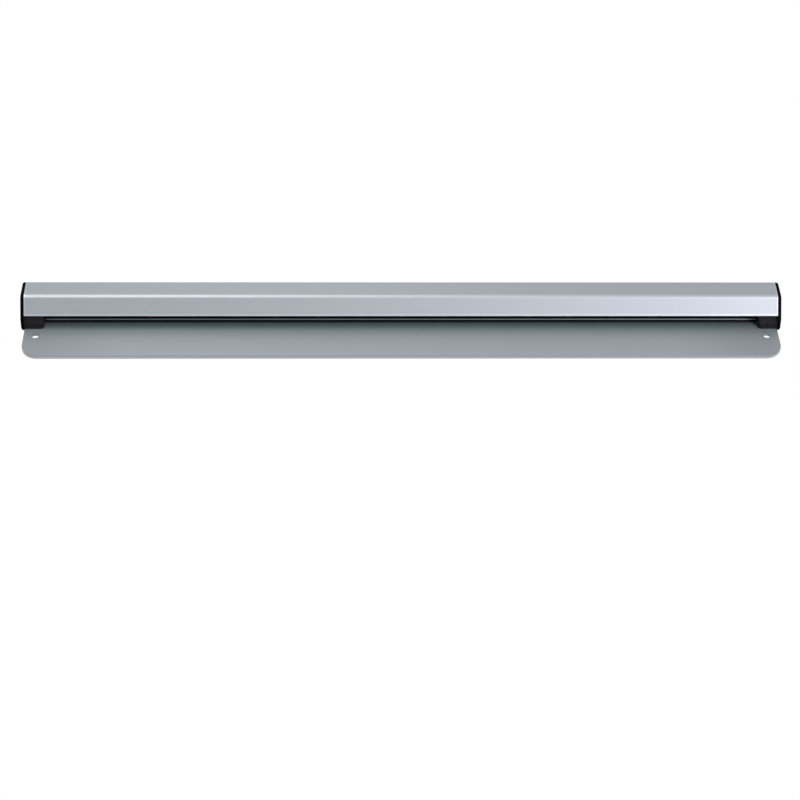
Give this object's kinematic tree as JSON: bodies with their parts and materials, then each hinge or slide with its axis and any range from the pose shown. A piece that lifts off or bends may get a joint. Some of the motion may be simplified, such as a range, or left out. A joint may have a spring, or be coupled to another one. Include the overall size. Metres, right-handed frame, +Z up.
{
  "type": "order ticket rack",
  "caption": "Wall-mounted order ticket rack: an extruded aluminium rail with a wedge channel where loose glass marbles pin paper slips to the back plate, closed by black moulded end caps.",
  "frame": {"origin": "midway between the two screw holes, on the plane of the wall that the back plate lies against", "axes": "+X along the rail to a viewer's right, +Y into the wall so that the front faces -Y, +Z up as mounted"},
  "size_m": [0.4572, 0.0197, 0.048],
  "materials": {
    "rail_aluminium": "satin anodised extrusion",
    "cap_plastic": "fine moulded texture",
    "marble_glass": "clear, slightly green"
  },
  "bodies": {
    "rack": {"rail": "rail_aluminium", "end_cap_left": "cap_plastic", "end_cap_right": "cap_plastic"},
    "marble_1": {"marble_1": "marble_glass"},
    "marble_2": {"marble_2": "marble_glass"},
    "marble_3": {"marble_3": "marble_glass"},
    "marble_4": {"marble_4": "marble_glass"},
    "marble_5": {"marble_5": "marble_glass"},
    "marble_6": {"marble_6": "marble_glass"},
    "marble_7": {"marble_7": "marble_glass"},
    "marble_8": {"marble_8": "marble_glass"},
    "marble_9": {"marble_9": "marble_glass"},
    "marble_10": {"marble_10": "marble_glass"},
    "marble_11": {"marble_11": "marble_glass"},
    "marble_12": {"marble_12": "marble_glass"},
    "marble_13": {"marble_13": "marble_glass"},
    "marble_14": {"marble_14": "marble_glass"},
    "marble_15": {"marble_15": "marble_glass"},
    "marble_16": {"marble_16": "marble_glass"},
    "marble_17": {"marble_17": "marble_glass"}
  },
  "joints": [
    {"name": "marble_1_lift", "type": "slide", "parent": "rack", "child": "marble_1", "axis": [0, -0.7615, 0.6481], "range_m": [0, 0.0023]},
    {"name": "marble_2_lift", "type": "slide", "parent": "rack", "child": "marble_2", "axis": [0, -0.7615, 0.6481], "range_m": [0, 0.0023]},
    {"name": "marble_3_lift", "type": "slide", "parent": "rack", "child": "marble_3", "axis": [0, -0.7615, 0.6481], "range_m": [0, 0.0023]},
    {"name": "marble_4_lift", "type": "slide", "parent": "rack", "child": "marble_4", "axis": [0, -0.7615, 0.6481], "range_m": [0, 0.0023]},
    {"name": "marble_5_lift", "type": "slide", "parent": "rack", "child": "marble_5", "axis": [0, -0.7615, 0.6481], "range_m": [0, 0.0023]},
    {"name": "marble_6_lift", "type": "slide", "parent": "rack", "child": "marble_6", "axis": [0, -0.7615, 0.6481], "range_m": [0, 0.0023]},
    {"name": "marble_7_lift", "type": "slide", "parent": "rack", "child": "marble_7", "axis": [0, -0.7615, 0.6481], "range_m": [0, 0.0023]},
    {"name": "marble_8_lift", "type": "slide", "parent": "rack", "child": "marble_8", "axis": [0, -0.7615, 0.6481], "range_m": [0, 0.0023]},
    {"name": "marble_9_lift", "type": "slide", "parent": "rack", "child": "marble_9", "axis": [0, -0.7615, 0.6481], "range_m": [0, 0.0023]},
    {"name": "marble_10_lift", "type": "slide", "parent": "rack", "child": "marble_10", "axis": [0, -0.7615, 0.6481], "range_m": [0, 0.0023]},
    {"name": "marble_11_lift", "type": "slide", "parent": "rack", "child": "marble_11", "axis": [0, -0.7615, 0.6481], "range_m": [0, 0.0023]},
    {"name": "marble_12_lift", "type": "slide", "parent": "rack", "child": "marble_12", "axis": [0, -0.7615, 0.6481], "range_m": [0, 0.0023]},
    {"name": "marble_13_lift", "type": "slide", "parent": "rack", "child": "marble_13", "axis": [0, -0.7615, 0.6481], "range_m": [0, 0.0023]},
    {"name": "marble_14_lift", "type": "slide", "parent": "rack", "child": "marble_14", "axis": [0, -0.7615, 0.6481], "range_m": [0, 0.0023]},
    {"name": "marble_15_lift", "type": "slide", "parent": "rack", "child": "marble_15", "axis": [0, -0.7615, 0.6481], "range_m": [0, 0.0023]},
    {"name": "marble_16_lift", "type": "slide", "parent": "rack", "child": "marble_16", "axis": [0, -0.7615, 0.6481], "range_m": [0, 0.0023]},
    {"name": "marble_17_lift", "type": "slide", "parent": "rack", "child": "marble_17", "axis": [0, -0.7615, 0.6481], "range_m": [0, 0.0023]}
  ]
}
